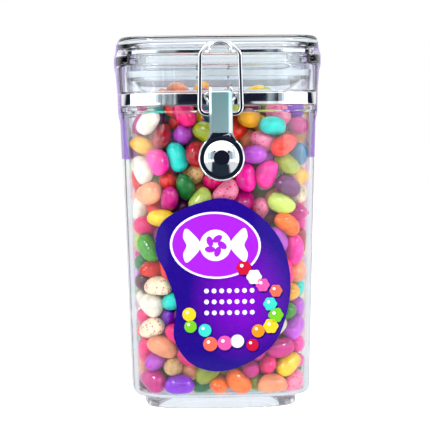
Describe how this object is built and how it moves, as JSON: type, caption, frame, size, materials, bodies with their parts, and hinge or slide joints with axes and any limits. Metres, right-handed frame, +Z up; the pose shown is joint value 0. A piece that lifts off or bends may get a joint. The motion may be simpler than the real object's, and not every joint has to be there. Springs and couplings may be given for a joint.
{
  "type": "jar of jelly beans",
  "caption": "Clear rounded-square storage jar with a wire clamp lid, filled with coloured jelly beans; the clamp lever and its wire link turn.",
  "frame": {"origin": "on the surface the jar stands on, under the middle of the jar, which is also the middle of the object's box seen from above", "axes": "+Z up along the jar's axis, +X to the jar's right seen from the front, -Y towards the front, where the clamp is"},
  "size_m": [0.1014, 0.1168, 0.1775],
  "materials": {
    "clear_plastic": "clear, polished",
    "gasket": "translucent, soft",
    "steel": "bright polished steel",
    "beans": "polished sugar shell in many colours",
    "label": "glossy printed film, deep violet",
    "seal": "translucent violet film"
  },
  "bodies": {
    "jar": {"jar_body": "clear_plastic", "lid": "clear_plastic", "gasket": "gasket", "neck_band": "steel", "lid_ring": "steel", "pivot_wire": "steel", "hinge": "steel", "beans": "beans", "label": "label", "seal_left": "seal", "seal_right": "seal"},
    "lever": {"lever": "steel"},
    "link": {"link": "steel"}
  },
  "joints": [
    {"name": "lever_pivot", "type": "hinge", "parent": "jar", "child": "lever", "pos_m": [0, -0.0534, 0.1502], "axis": [-1, 0, 0], "range_deg": [0, 90]},
    {"name": "link_pivot", "type": "hinge", "parent": "lever", "child": "link", "pos_m": [0, -0.0522, 0.1404], "axis": [-1, 0, 0], "range_deg": [-67, 1]}
  ],
  "couplings": [
    {"joint": "link_pivot", "follows": "lever_pivot", "ratio": -0.73}
  ]
}
